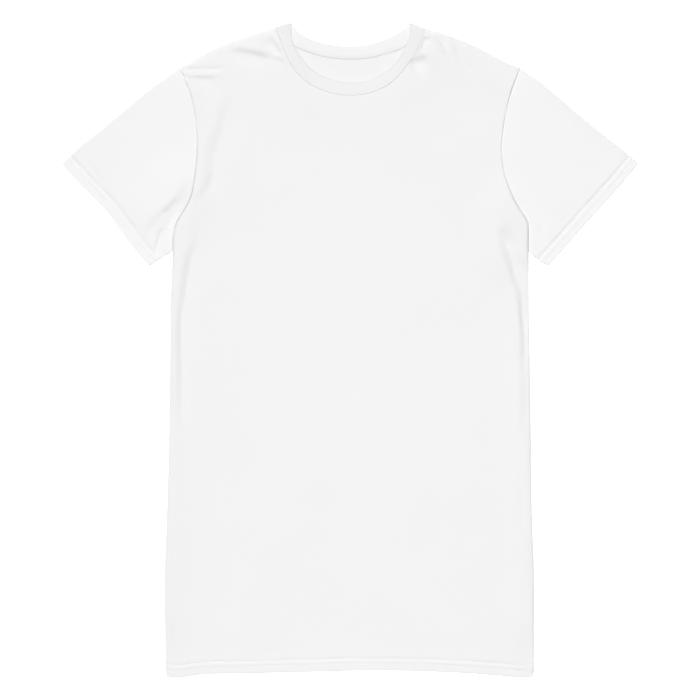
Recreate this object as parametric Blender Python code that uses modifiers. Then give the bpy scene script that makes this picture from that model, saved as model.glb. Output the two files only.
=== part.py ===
"""A t-shirt dress laid flat on its back, sewn from five pieces of cloth.

The pattern is drawn in millimetres: x runs across from the centre line, y is the height above the
lowest point of the hem, towards the neck, and z is the height above the surface that it lies on.
Every piece is the outer face of its cloth, given a wall by Solidify. The pieces that are sewn to
each other read the same edge: the body panels end on it, and the sleeves and the neckband stop
one seam gap short of it.
"""

import bmesh
import bpy
import math
import numpy as np

MM = 0.001

# Cloth
WALL = 1.0  # one layer of jersey
HEM_WALL = 2.1  # two layers, where a hem or cuff is turned up
SEAM_GAP = 0.3  # between two pieces at a seam
SEAM_DROP = 1.15  # how far a side or shoulder edge turns down to meet the back
HEM_DEPTH = 17.0  # from the hem's edge to its upper row of stitches
CUFF_DEPTH = 15.5

# Heights of the cloth's outer face above the surface
BACK_TOP = WALL
FRONT_BOTTOM = BACK_TOP + SEAM_GAP  # where the front's side and shoulder edges end
FRONT_LOWEST = FRONT_BOTTOM + WALL + 0.1
FRONT_TOP = 3.1
HEM_TOP = 4.0
NECK_TOP = 5.6
ARMHOLE_TOP = 3.9
SLEEVE_TOP = 4.4
BAND_TOP = 6.0
BAND_THICKNESS = 2.2  # the rib is doubled
SLEEVE_FOLD = 2.0  # half the height of a sleeve's folded edge
SLEEVE_LOWEST = 2.6
SIDE_ROLL = 5.0  # how far in the rounding of a side or shoulder edge reaches
SLEEVE_ROLL = 3.0
ROLL_FADE = (600.0, 700.0)  # the side's roll runs out up the armhole between these heights
ROLL_POINTS = 6  # of the armhole, that the side's roll goes on along

# How those heights run into each other, as reaches in from an edge
HEM_BLEND = 14.0
CUFF_BLEND = 8.0
NECK_REACH = 48.0
ARMHOLE_REACH = 26.0
SLEEVE_SEAM_REACH = 20.0
STITCH_DITCH = {"depth": 0.35, "width": 2.5}
SHOULDER_RISE = {"height": 1.2, "reach": 40.0}
SIDE_SWELL = {"height": 1.9, "inward": 8.0, "width": 9.0, "starts": (30.0, 90.0)}
HEM_WALL_FADE = (4.0, 9.0)  # the turned up layer thins out towards the sides
CUFF_WALL_FADE = (3.0, 8.0)

# Where the sections lie, as distances in from an edge
SIDE_STEPS = (0.0, 0.15, 1.2, 3.0, 6.0, 11.0, 17.0, 24.0, 34.0)
TOP_STEPS = (0.0, 0.15, 1.3, 2.6)
HEM_STEPS = (0.0, 3.0, 6.0, HEM_DEPTH - 2.0, HEM_DEPTH + 1.0, HEM_DEPTH + 9.0)
FOLD_STEPS = (0.0, 0.8, 2.2, 5.0)
CUFF_STEPS = (0.0, 1.5, CUFF_DEPTH - 2.0, CUFF_DEPTH + 1.0)
SLEEVE_END_STEPS = (8.0, 0.0)
NECK_SECTIONS = 22
SHOULDER_SECTIONS = 5
EDGE_SECTIONS = 20
HEM_SECTIONS = 60
SIDE_SECTIONS = 12
ARMHOLE_SECTIONS = 16
SLEEVE_SECTIONS = 9
CURVE_POINTS = 24  # worked out between two rows of a table
FOLD_SECTIONS = 12
TURN_STEP = 45  # degrees, round the neckband's fold and tips
BACK_SIDE_STEPS = (0.0, 24.0)  # the back is flat, so it needs few sections
BACK_HEM_STEPS = (0.0, HEM_DEPTH + 1.0)
BACK_SIDE_SECTIONS = 3
CORNER_ROWS = (14.0, 7.0)  # the rows next below the neck and shoulders
LEAN = 10.0  # how far the columns lean out beside the neck
LEAN_DEPTH = 22.0  # how far below the neck they lean most
CORNER_LEAN = 1.4  # the corner's column leans more than the one beside it

# Edges of the body. Each row is a height above the hem and how far out each side lies.
SIDES = {
    "height": (1.3, 15, 60, 165, 225, 335, 440, 540, 600),
    "left": (258.5, 259.5, 260.5, 260.5, 258, 255, 253.5, 252.3, 249.6),
    "right": (257.5, 259, 259.3, 259, 256.5, 255, 253.5, 252, 251.8),
}
ARMHOLES = {
    "height": (600, 622, 641, 655, 672, 690, 713, 742, 771, 800, 825, 842, 858),
    "left": (249.6, 249, 243.5, 235, 225.5, 220, 217, 215, 215.7, 219.5, 225.5, 233, 240.5),
    "right": (251.8, 251.5, 250.3, 241.5, 231, 223, 216.5, 213.3, 215.5, 220.5, 226.8, 233, 239.7),
}
SHOULDERS = {
    "out": (240.1, 215, 190, 167, 146, 126, 106),
    "left": (858, 871.5, 885.5, 894.5, 903, 909, 915),
    "right": (858, 868.5, 882, 893, 901.5, 908, 913.5),
}
HEM = {
    "across": (-258.5, -240, -209, -140, -60, 28, 104, 160, 206, 240, 257.5),
    "height": (1.3, 0, 4.2, 6, 8, 10, 8.8, 6.3, 3, 0, 1.3),
}

# Edges round the neck, from the shoulder down to the centre line
FRONT_NECK_SEAM = {
    "height": (914.3, 895, 875, 859, 845, 834, 825.3, 820.3, 819),
    "left": (106, 97.3, 89.6, 80.7, 69, 55, 36.3, 18, 0),
    "right": (106, 99.6, 89.8, 78.9, 66.8, 54.4, 36.4, 18.7, 0),
}
FRONT_BAND_EDGE = {
    "height": (922.3, 906, 890, 877, 860.5, 850.5, 842, 838, 836.5),
    "left": (83.1, 82.8, 80, 72, 59.5, 46, 28.5, 14, 0),
    "right": (84.3, 83.7, 79, 73.5, 61, 48, 31.5, 18, 0),
}
BACK_NECK_SEAM = {
    "height": (914.3, 900, 889.5, 883.5, 877.7, 873.6, 871.3, 870.8),
    "left": (106, 94, 79, 65.5, 49.2, 33, 14, 0),
    "right": (106, 94, 78, 67, 48.5, 33, 16, 0),
}
BACK_BAND_EDGE = {
    "height": (922.3, 914.5, 904, 896, 891.5, 889.5, 889),
    "left": (83.1, 77.5, 66, 47.5, 29.7, 15, 0),
    "right": (84.3, 77.5, 62, 43, 27, 16, 0),
}

# Free edges of the sleeves
SLEEVE_TOPS = {
    "out": (240.1, 262, 282, 314, 354, 384, 406),
    "left": (858, 842.3, 828, 801.9, 768.5, 744.5, 723.5),
    "right": (858, 842.7, 827, 799, 766, 742, 722.5),
}
CUFFS = {
    "height": (579, 600, 633, 655, 678, 700, 723),
    "left": (282, 300.8, 325.5, 341.3, 363.6, 384.9, 406),
    "right": (278.5, 298, 327, 346.7, 367.8, 387.2, 406),
}
UNDERARMS = {
    "height": (579, 588.5, 600),
    "left": (282, 267.5, 249.6),
    "right": (278.5, 263, 251.8),
}

# The largest folds: three points along each, its half width, and how deep it sinks.
# A lip is the cloth that stands up beside it, on the left of its path where it is above 0.
FOLD_COLUMNS = ("start", "middle", "end", "width", "depth", "lip")
FRONT_FOLDS = (
    ((-163, 886), (-128, 878), (-92, 869), 6.5, 2.6, 1.3),
    ((-178, 788), (-202, 722), (-221, 668), 8.0, 1.6, -1.2),
    ((-222, 606), (-238, 530), (-239, 400), 6.5, 1.9, -1.3),
    ((-239, 400), (-240, 330), (-241, 270), 6.0, 0.8, -0.5),
    ((212, 624), (235, 560), (243, 455), 6.5, 1.9, 1.3),
    ((243, 455), (245, 410), (245, 360), 6.0, 0.8, 0.5),
    ((92, 869), (109, 874), (134, 876), 7.5, 1.0, 0.5),
    ((-226, 859), (-200, 861), (-176, 860), 6.0, 1.0, 0.6),
)
LEFT_SLEEVE_FOLDS = (
    ((-246, 680), (-268, 652), (-288, 626), 7.0, 1.0, -1.2),
    ((-266, 628), (-270, 616), (-274, 604), 6.0, 0.8, 0.8),
)
RIGHT_SLEEVE_FOLDS = (
    ((246, 690), (262, 665), (284, 640), 8.0, 0.7, 0.6),
)

FOLD_FADE = (0.12, 0.88)  # how a fold's depth grows and dies out: shares of half a wave
LIP_PLACE = 1.9  # in half widths from the fold's path
LIP_WIDTH = 1.1

# How far the neckband's upper face stands out, at shares of its width from the seam
BAND_CROWN = ((0.12, 0.0), (0.45, 0.3), (0.85, 0.1))
FACING_UP = 0.999

CLOTH_COLOUR = (0.86, 0.86, 0.85, 1.0)
RIB_COLOUR = (0.84, 0.84, 0.83, 1.0)
CLOTH_ROUGHNESS = 0.92


def clear_scene():
    for thing in list(bpy.data.objects):
        bpy.data.objects.remove(thing, do_unlink=True)


# ---------------------------------------------------------------- curves

def lengths_along(points):
    """Distance from the first point to each point of a line."""
    steps = np.hypot(*np.diff(points, axis=0).T)
    return np.concatenate(([0.0], np.cumsum(steps)))


def at_lengths(points, lengths):
    """Points of a line at the given distances along it."""
    along = lengths_along(points)
    return np.column_stack([np.interp(lengths, along, points[:, axis]) for axis in (0, 1)])


def smooth_line(points, sections):
    """A smooth curve through the points, in sections of equal length."""
    points = np.asarray(points, dtype=float)
    before = 2 * points[0] - points[1]
    after = 2 * points[-1] - points[-2]
    padded = np.vstack([before, points, after])
    knots = np.concatenate(([0.0], np.cumsum(np.sqrt(np.hypot(*np.diff(padded, axis=0).T)))))
    fine = []
    for k in range(1, len(padded) - 2):
        t0, t1, t2, t3 = knots[k - 1:k + 3]
        for t in np.linspace(t1, t2, CURVE_POINTS, endpoint=False):
            a1 = (t1 - t) / (t1 - t0) * padded[k - 1] + (t - t0) / (t1 - t0) * padded[k]
            a2 = (t2 - t) / (t2 - t1) * padded[k] + (t - t1) / (t2 - t1) * padded[k + 1]
            a3 = (t3 - t) / (t3 - t2) * padded[k + 1] + (t - t2) / (t3 - t2) * padded[k + 2]
            b1 = (t2 - t) / (t2 - t0) * a1 + (t - t0) / (t2 - t0) * a2
            b2 = (t3 - t) / (t3 - t1) * a2 + (t - t1) / (t3 - t1) * a3
            fine.append((t2 - t) / (t2 - t1) * b1 + (t - t1) / (t2 - t1) * b2)
    fine.append(points[-1])
    fine = np.array(fine)
    return at_lengths(fine, np.linspace(0.0, lengths_along(fine)[-1], sections + 1))


def one_side(table, side, sections):
    """The curve of a table of heights (or distances out) on the left or right side."""
    sign = -1.0 if side == "left" else 1.0
    if "out" in table:
        points = [(sign * out, height) for out, height in zip(table["out"], table[side])]
    else:
        points = [(sign * out, height) for height, out in zip(table["height"], table[side])]
    return smooth_line(points, sections)


def across_neck(table, sections):
    """The curve of a neck table, from the left shoulder round to the right one."""
    left = [(-out, height) for height, out in zip(table["height"], table["left"])]
    right = [(out, height) for height, out in zip(table["height"], table["right"])]
    return smooth_line(left + right[-2::-1], sections)


def distance_to(line, x, y):
    """Distance of each (x, y) from a line."""
    nearest = np.full(x.shape, np.inf)
    for start, end in zip(line[:-1], line[1:]):
        along = end - start
        share = ((x - start[0]) * along[0] + (y - start[1]) * along[1]) / max(along @ along, 1e-9)
        share = np.clip(share, 0.0, 1.0)
        gap = np.hypot(x - start[0] - share * along[0], y - start[1] - share * along[1])
        nearest = np.minimum(nearest, gap)
    return nearest


def ease(value, low, high):
    """0 at low, 1 at high, smooth between."""
    share = np.clip((value - low) / (high - low), 0.0, 1.0)
    return share * share * (3.0 - 2.0 * share)


def rounding(distance, reach):
    """A quarter ellipse: 0 at an edge, 1 from reach inwards."""
    share = np.clip(distance / reach, 0.0, 1.0)
    return np.sqrt(np.clip(1.0 - (1.0 - share) ** 2, 0.0, 1.0))


def fold_relief(x, y, folds):
    """How far the folds raise or sink the cloth at each (x, y)."""
    relief = np.zeros_like(x)
    for row in folds:
        fold = dict(zip(FOLD_COLUMNS, row))
        path = smooth_line((fold["start"], fold["middle"], fold["end"]), FOLD_SECTIONS)
        along = lengths_along(path)
        best = np.full(x.shape, np.inf)
        signed = np.zeros_like(x)
        place = np.zeros_like(x)
        for k in range(len(path) - 1):
            step = path[k + 1] - path[k]
            size = math.hypot(*step)
            share = np.clip(((x - path[k][0]) * step[0] + (y - path[k][1]) * step[1]) / size ** 2, 0, 1)
            off_x = x - path[k][0] - share * step[0]
            off_y = y - path[k][1] - share * step[1]
            gap = np.hypot(off_x, off_y)
            closer = gap < best
            best = np.where(closer, gap, best)
            signed = np.where(closer, np.sign(step[0] * off_y - step[1] * off_x) * gap, signed)
            place = np.where(closer, (along[k] + share * size) / along[-1], place)
        fade = np.sin(np.pi * np.interp(place, (0.0, 1.0), FOLD_FADE))
        trough = np.exp(-(best / fold["width"]) ** 2)
        from_lip = signed - math.copysign(LIP_PLACE, fold["lip"]) * fold["width"]
        lip = np.exp(-(from_lip / (LIP_WIDTH * fold["width"])) ** 2)
        relief += fade * (abs(fold["lip"]) * lip - fold["depth"] * trough)
    return relief


# ---------------------------------------------------------------- edges that pieces share

def shared_edges():
    edges = {"hem": smooth_line(list(zip(HEM["across"], HEM["height"])), HEM_SECTIONS)}
    for side in ("left", "right"):
        edges["side_" + side] = one_side(SIDES, side, SIDE_SECTIONS)
        edges["armhole_" + side] = one_side(ARMHOLES, side, ARMHOLE_SECTIONS)
        edges["shoulder_" + side] = one_side(SHOULDERS, side, EDGE_SECTIONS)
        edges["sleeve_top_" + side] = one_side(SLEEVE_TOPS, side, EDGE_SECTIONS)
        edges["cuff_" + side] = one_side(CUFFS, side, ARMHOLE_SECTIONS)
        edges["underarm_" + side] = one_side(UNDERARMS, side, EDGE_SECTIONS)
        edges["armhole_" + side][-1] = edges["shoulder_" + side][0]
        edges["sleeve_top_" + side][0] = edges["shoulder_" + side][0]
        edges["armhole_" + side][0] = edges["side_" + side][-1]
        edges["underarm_" + side][-1] = edges["side_" + side][-1]
        rolled = edges["armhole_" + side][1:ROLL_POINTS]
        edges["roll_" + side] = np.vstack([edges["side_" + side], rolled])
    for name, table in (("front_seam", FRONT_NECK_SEAM), ("back_seam", BACK_NECK_SEAM),
                        ("front_edge", FRONT_BAND_EDGE), ("back_edge", BACK_BAND_EDGE)):
        edges[name] = across_neck(table, NECK_SECTIONS)
    for name in ("front_seam", "back_seam"):
        edges[name][0] = edges["shoulder_left"][-1]
        edges[name][-1] = edges["shoulder_right"][-1]
    edges["back_edge"][0] = edges["front_edge"][0]
    edges["back_edge"][-1] = edges["front_edge"][-1]
    return edges


# ---------------------------------------------------------------- meshes

def inward(line):
    """Unit vectors to the right of a line at each of its points."""
    slope = np.gradient(line, axis=0)
    slope = slope / np.maximum(np.hypot(slope[:, 0], slope[:, 1]), 1e-9)[:, None]
    return np.column_stack([slope[:, 1], -slope[:, 0]])


def shares(line):
    """How far along a line each of its points is, from 0 to 1."""
    along = lengths_along(line)
    return along / along[-1]


def patch(bottom, top, left, right):
    """A grid of (x, y) points filling four edges, rows from bottom to top."""
    low, high = shares(bottom)[None, :], shares(top)[None, :]
    first, last = shares(left)[:, None], shares(right)[:, None]
    up = (first + last) / 2.0
    s = ((1 - up) * low + up * high)[:, :, None]
    t = ((1 - s[:, :, 0]) * first + s[:, :, 0] * last)[:, :, None]
    ends = (1 - s) * left[:, None, :] + s * right[:, None, :]
    rows = (1 - t) * bottom[None, :, :] + t * top[None, :, :]
    corners = (1 - t) * ((1 - s) * bottom[0] + s * bottom[-1]) + t * ((1 - s) * top[0] + s * top[-1])
    return ends + rows - corners


def sheet_object(name, points, wall, colour, closed=False, outer_up=True):
    """An open grid of cloth with a wall inside its outer face. wall holds each point's own."""
    rows, columns = points.shape[:2]
    mesh = bpy.data.meshes.new(name)
    grid = bmesh.new()
    bmesh.ops.create_grid(grid, x_segments=columns - 1, y_segments=rows - 1, size=1.0)
    thick = grid.verts.layers.deform.new()
    thickest = float(wall.max())
    for vert in grid.verts:
        column = round((vert.co.x + 1.0) / 2.0 * (columns - 1))
        row = round((vert.co.y + 1.0) / 2.0 * (rows - 1))
        vert.co = points[row, column] * MM
        vert[thick][0] = float(wall[row, column]) / thickest
    if closed:
        bmesh.ops.remove_doubles(grid, verts=grid.verts, dist=0.00001)
    if not outer_up:
        bmesh.ops.reverse_faces(grid, faces=grid.faces)
    bmesh.ops.triangulate(grid, faces=grid.faces)  # so that both sides of the wall bend alike
    grid.to_mesh(mesh)
    grid.free()
    mesh.shade_smooth()
    sheet = bpy.data.objects.new(name, mesh)
    sheet.vertex_groups.new(name="layers")
    solidify = sheet.modifiers.new("wall", "SOLIDIFY")
    solidify.thickness = thickest * MM
    solidify.offset = -1.0
    solidify.vertex_group = "layers"
    sheet.data.materials.append(cloth_material(name, colour))
    return sheet


def cloth_material(name, colour):
    material = bpy.data.materials.new(name)
    material.use_nodes = True
    surface = material.node_tree.nodes["Principled BSDF"]
    surface.inputs["Base Color"].default_value = colour
    surface.inputs["Roughness"].default_value = CLOTH_ROUGHNESS
    surface.inputs["Metallic"].default_value = 0.0
    material.diffuse_color = colour
    return material


# ---------------------------------------------------------------- body panels

def panel_edges(edges, neck, side_steps, top_steps, corner_rows, hem_steps, side_sections):
    """The four matched edges of a body panel, and how many rows or columns each margin has."""
    tops = {}
    for side in ("left", "right"):
        shoulder = edges["shoulder_" + side]
        whole = lengths_along(shoulder)[-1]
        plain = np.linspace(side_steps[-1], whole, SHOULDER_SECTIONS + 1)[1:]
        tops[side] = at_lengths(shoulder, np.concatenate((side_steps, plain)))
    top = np.vstack([tops["left"], neck[1:-1], tops["right"][::-1]])
    hem = edges["hem"]
    sides = {}
    for side in ("left", "right"):
        rising = edges["side_" + side].copy()
        rising[0] = hem[0] if side == "left" else hem[-1]
        whole = lengths_along(rising)[-1]
        plain = np.linspace(hem_steps[-1], whole, side_sections + 1)[1:]
        lower = at_lengths(rising, np.concatenate((hem_steps, plain)))
        armhole = edges["armhole_" + side]
        upper = list(armhole[1:-1])
        whole = lengths_along(armhole)[-1]
        upper += list(at_lengths(armhole, whole - np.array(corner_rows)))
        upper += list(at_lengths(armhole, whole - np.array(top_steps[::-1])))
        sides[side] = np.vstack([lower, upper])
    across = top[:, 0] / np.where(top[:, 0] < 0, -top[0, 0], top[-1, 0])
    reach = np.where(across < 0, -hem[0, 0], hem[-1, 0])
    hem_x = across * reach
    count = len(side_steps)
    hem_x[:count] = hem[0, 0] + np.array(side_steps)
    hem_x[-count:] = hem[-1, 0] - np.array(side_steps[::-1])
    bottom = np.column_stack([hem_x, np.interp(hem_x, hem[:, 0], hem[:, 1])])
    return bottom, top, sides["left"], sides["right"]


def panel_points(edges, neck, side_steps, top_steps, corner_rows, hem_steps, side_sections):
    """The (x, y) grid of a body panel. Its last rows run level with the neck and shoulders."""
    sections = (side_steps, top_steps, corner_rows, hem_steps, side_sections)
    bottom, top, left, right = panel_edges(edges, neck, *sections)
    plan = patch(bottom, top, left, right)
    into = inward(top)
    # below the neck's steep sides the columns lean outwards, so that rows cross them squarely
    margin = len(side_steps)
    corner = margin + SHOULDER_SECTIONS - 1
    lean = into[:, 0].copy()
    lean[:margin] = 0.0
    lean[-margin:] = 0.0
    fading = np.linspace(0.0, CORNER_LEAN, SHOULDER_SECTIONS + 1)
    lean[margin - 1:corner + 1] = fading * lean[corner + 1]
    lean[-corner - 1:1 - margin] = fading[::-1] * lean[-corner - 2]
    below = (top[:, 1] - plan[:, :, 1]) / LEAN_DEPTH
    plan[:, 1:-1, 0] += (LEAN * lean * below * np.exp(1.0 - below))[:, 1:-1]
    for k, step in enumerate(top_steps):
        plan[-1 - k, 2:-2] = (top + into * step)[2:-2]
    return plan


def front_height(x, y, edges):
    """Height of the front's outer face, before its edges are rounded."""
    to_hem = distance_to(edges["hem"], x, y)
    to_neck = distance_to(edges["front_seam"], x, y)
    height = np.full(x.shape, FRONT_TOP)
    height += (HEM_TOP - FRONT_TOP) * (1.0 - ease(to_hem, HEM_DEPTH, HEM_DEPTH + HEM_BLEND))
    height -= STITCH_DITCH["depth"] * np.exp(-((to_hem - HEM_DEPTH) / STITCH_DITCH["width"]) ** 2)
    height += (NECK_TOP - FRONT_TOP) * np.exp(-(to_neck / NECK_REACH) ** 2)
    for side in ("left", "right"):
        to_side = distance_to(edges["roll_" + side], x, y)
        to_armhole = distance_to(edges["armhole_" + side], x, y)
        to_shoulder = distance_to(edges["shoulder_" + side], x, y)
        swell = np.exp(-((to_side - SIDE_SWELL["inward"]) / SIDE_SWELL["width"]) ** 2)
        height += SIDE_SWELL["height"] * swell * ease(y, *SIDE_SWELL["starts"])
        height += (ARMHOLE_TOP - FRONT_TOP) * np.exp(-(to_armhole / ARMHOLE_REACH) ** 2)
        height += SHOULDER_RISE["height"] * np.exp(-(to_shoulder / SHOULDER_RISE["reach"]) ** 2)
    height += fold_relief(x, y, FRONT_FOLDS)
    return np.maximum(height, FRONT_LOWEST)


def front_panel(edges):
    sections = (SIDE_STEPS, TOP_STEPS, CORNER_ROWS, HEM_STEPS, SIDE_SECTIONS)
    plan = panel_points(edges, edges["front_seam"], *sections)
    x = plan[:, :, 0]
    y = plan[:, :, 1]
    height = front_height(x, y, edges)
    to_hem = distance_to(edges["hem"], x, y)
    wall = WALL + (HEM_WALL - WALL) * (1.0 - ease(to_hem, HEM_DEPTH - 1.0, HEM_DEPTH + 1.0))
    rolled = np.ones_like(x)
    turns = np.zeros_like(x)
    for side in ("left", "right"):
        to_side = distance_to(edges["roll_" + side], x, y)
        to_shoulder = distance_to(edges["shoulder_" + side], x, y)
        fade = 1.0 - ease(y, *ROLL_FADE)
        side_roll = 1.0 - fade * (1.0 - rounding(to_side, SIDE_ROLL))
        shoulder_roll = rounding(to_shoulder, SIDE_ROLL)
        rolled = np.minimum(rolled, np.minimum(side_roll, shoulder_roll))
        edge = 0 if side == "left" else -1
        turns[:, edge] = 1.0 - side_roll[:, edge]
        turns[-1, :] = np.maximum(turns[-1, :], 1.0 - shoulder_roll[-1, :])
        wall = WALL + (wall - WALL) * ease(to_side, *HEM_WALL_FADE)
    folded = FRONT_BOTTOM + SEAM_DROP
    height = folded + (height - folded) * rolled
    # along the sides and shoulders the outermost line of points turns down to the back
    height -= SEAM_DROP * turns
    points = np.dstack([plan, height])
    return sheet_object("front_panel", points, wall, CLOTH_COLOUR)


def back_panel(edges):
    sections = (BACK_SIDE_STEPS, (0.0,), (), BACK_HEM_STEPS, BACK_SIDE_SECTIONS)
    plan = panel_points(edges, edges["back_seam"], *sections)
    points = np.dstack([plan, np.zeros(plan.shape[:2])])
    wall = np.full(plan.shape[:2], WALL)
    return sheet_object("back_panel", points, wall, CLOTH_COLOUR, outer_up=False)


# ---------------------------------------------------------------- sleeves

def sleeve_height(x, y, edges, side, folds):
    """Height of a sleeve's upper face, before its folded edges are rounded."""
    to_cuff = distance_to(edges["cuff_" + side], x, y)
    to_armhole = distance_to(edges["armhole_" + side], x, y)
    cuff_top = 2.0 * HEM_WALL + 2.0 * SEAM_GAP
    height = np.full(x.shape, SLEEVE_TOP)
    height += (ARMHOLE_TOP - SLEEVE_TOP) * np.exp(-(to_armhole / SLEEVE_SEAM_REACH) ** 2)
    height += fold_relief(x, y, folds)
    height = np.maximum(height, SLEEVE_LOWEST)
    turned = 1.0 - ease(to_cuff, CUFF_DEPTH, CUFF_DEPTH + CUFF_BLEND)
    return height + (cuff_top - height) * turned


def sleeve(name, edges, side, folds):
    """One tube of cloth, folded along its top edge, lying flat: a front and a back layer."""
    away = -1.0 if side == "left" else 1.0
    armhole = edges["armhole_" + side]
    out = inward(armhole)
    out = out * np.sign(out[:, :1] * away)
    seam = armhole + out * SEAM_GAP
    reach = lengths_along(seam)
    steps = np.array(FOLD_STEPS)
    seam_places = np.concatenate((steps, reach[1:-1], reach[-1] - steps[::-1]))
    cuff = edges["cuff_" + side]
    cuff_reach = lengths_along(cuff)
    inner = np.interp(reach[1:-1] / reach[-1], cuff_reach / cuff_reach[-1], cuff_reach)
    cuff_places = np.concatenate((steps, inner, cuff_reach[-1] - steps[::-1]))
    across = []
    ends = ((edges["underarm_" + side], seam[0]), (edges["sleeve_top_" + side][::-1], seam[-1]))
    for line, end in ends:
        line = np.vstack([line[:-1], end])
        whole = lengths_along(line)[-1]
        plain = np.linspace(CUFF_STEPS[-1], whole - SLEEVE_END_STEPS[0], SLEEVE_SECTIONS + 1)[1:-1]
        places = np.concatenate((CUFF_STEPS, plain, whole - np.array(SLEEVE_END_STEPS)))
        across.append(at_lengths(line, places))
    underarm, top = across
    plan = patch(underarm, top, at_lengths(cuff, cuff_places), at_lengths(seam, seam_places))
    x = plan[:, :, 0]
    y = plan[:, :, 1]
    to_fold = np.minimum(distance_to(underarm, x, y), distance_to(top, x, y))
    round_off = rounding(to_fold, SLEEVE_ROLL)
    upper = SLEEVE_FOLD + (sleeve_height(x, y, edges, side, folds) - SLEEVE_FOLD) * round_off
    lower = SLEEVE_FOLD * (1.0 - round_off)
    to_cuff = distance_to(cuff, x, y)
    turned = 1.0 - ease(to_cuff, CUFF_DEPTH - 1.0, CUFF_DEPTH + 1.0)
    wall = WALL + (HEM_WALL - WALL) * turned * ease(to_fold, *CUFF_WALL_FADE)
    front = np.dstack([plan, upper])
    back = np.dstack([plan, lower])
    ring = np.concatenate((front, back[-2:0:-1], front[:1]), axis=0)
    walls = np.concatenate((wall, wall[-2:0:-1], wall[:1]), axis=0)
    return sheet_object(name, ring, walls, CLOTH_COLOUR, closed=True, outer_up=side == "left")


# ---------------------------------------------------------------- neckband

def band_columns(edges):
    """Round the neck from the left shoulder: where each section starts, ends and faces."""
    half = BAND_TOP / 2.0
    sections = {}
    for layer, up in (("front", 1.0), ("back", -1.0)):
        facing = np.array([0.0, 0.0, up])
        lines = zip(edges[layer + "_seam"][1:-1], edges[layer + "_edge"][1:-1])
        sections[layer] = [(seam, edge, facing) for seam, edge in lines]
    for tip in ("left", "right"):
        sections[tip] = []
        order = 1 if tip == "left" else -1
        seam = edges["front_seam"][::order]
        edge = edges["front_edge"][::order]
        along = (edge[0] - seam[0]) / math.hypot(*(edge[0] - seam[0]))
        into = np.array([along[1], -along[0]])
        into = into if into[1] < 0 else -into
        for angle in range(-90, 91, TURN_STEP):
            turned = math.radians(angle)
            facing = np.array([*(-into * math.cos(turned)), math.sin(turned)])
            shift = [half * (1.0 - math.cos(turned))]
            layer = "front" if angle > 0 else "back"
            start = at_lengths(edges[layer + "_seam"][::order], shift)[0]
            end = at_lengths(edges[layer + "_edge"][::order], shift)[0]
            sections[tip].append((start, end, facing))
    columns = sections["left"] + sections["front"] + sections["right"][::-1] + sections["back"][::-1]
    return columns + columns[:1]


def neckband(edges):
    """A doubled strip of rib: its fold is the free edge, and both raw edges are in the seam."""
    half = BAND_TOP / 2.0
    layer = BAND_THICKNESS / 2.0
    rings = []
    for seam, edge, facing in band_columns(edges):
        width = math.hypot(*(edge - seam))
        along = np.array([*((edge - seam) / width), 0.0])
        # the middle of the strip's thickness, which climbs from the back layer to the front one
        start = np.array([*seam, half + facing[2] * (half - layer)])
        if abs(facing[2]) < FACING_UP:
            start = start - np.array([facing[0], facing[1], 0.0]) * layer
        section = [start + along * SEAM_GAP + facing * layer]
        for share, crown in BAND_CROWN:
            raised = layer + crown * max(facing[2], 0.0)
            section.append(start + along * width * share + facing * raised)
        for angle in range(0, 181, TURN_STEP):
            turned = math.radians(angle)
            corner = start + along * (width - layer)
            section.append(corner + (along * math.sin(turned) + facing * math.cos(turned)) * layer)
        section.append(start + along * width / 2.0 - facing * layer)
        section.append(start + along * SEAM_GAP - facing * layer)
        rings.append(section)
    points = np.array(rings).transpose(1, 0, 2)
    wall = np.full(points.shape[:2], WALL)
    return sheet_object("neckband", points, wall, RIB_COLOUR, closed=True)


def build():
    clear_scene()
    edges = shared_edges()
    pieces = [
        front_panel(edges),
        back_panel(edges),
        sleeve("left_sleeve", edges, "left", LEFT_SLEEVE_FOLDS),
        sleeve("right_sleeve", edges, "right", RIGHT_SLEEVE_FOLDS),
        neckband(edges),
    ]
    places = np.array([vert.co for piece in pieces for vert in piece.data.vertices])
    centre = (places.min(axis=0) + places.max(axis=0)) / 2.0
    dress = bpy.data.collections.new("t_shirt_dress")
    bpy.context.scene.collection.children.link(dress)
    for piece in pieces:
        piece.location = (-centre[0], -centre[1], 0.0)
        dress.objects.link(piece)


build()
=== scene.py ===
import math
import bpy
import numpy as np
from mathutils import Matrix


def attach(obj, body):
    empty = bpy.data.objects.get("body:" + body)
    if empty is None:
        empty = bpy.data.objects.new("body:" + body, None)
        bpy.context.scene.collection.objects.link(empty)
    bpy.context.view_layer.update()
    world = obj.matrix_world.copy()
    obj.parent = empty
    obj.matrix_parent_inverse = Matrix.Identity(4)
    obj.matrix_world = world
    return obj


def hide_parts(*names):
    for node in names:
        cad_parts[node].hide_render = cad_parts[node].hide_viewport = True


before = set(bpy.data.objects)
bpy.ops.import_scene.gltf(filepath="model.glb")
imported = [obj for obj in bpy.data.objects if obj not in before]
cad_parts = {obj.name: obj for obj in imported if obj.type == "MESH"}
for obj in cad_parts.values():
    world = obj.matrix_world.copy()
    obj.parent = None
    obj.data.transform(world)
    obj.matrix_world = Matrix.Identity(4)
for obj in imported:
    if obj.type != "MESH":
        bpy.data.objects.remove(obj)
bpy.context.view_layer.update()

mm = 0.001
hemToMiddle = 461.0  # the pattern is drawn up from the hem, the model lies round its middle

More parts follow.
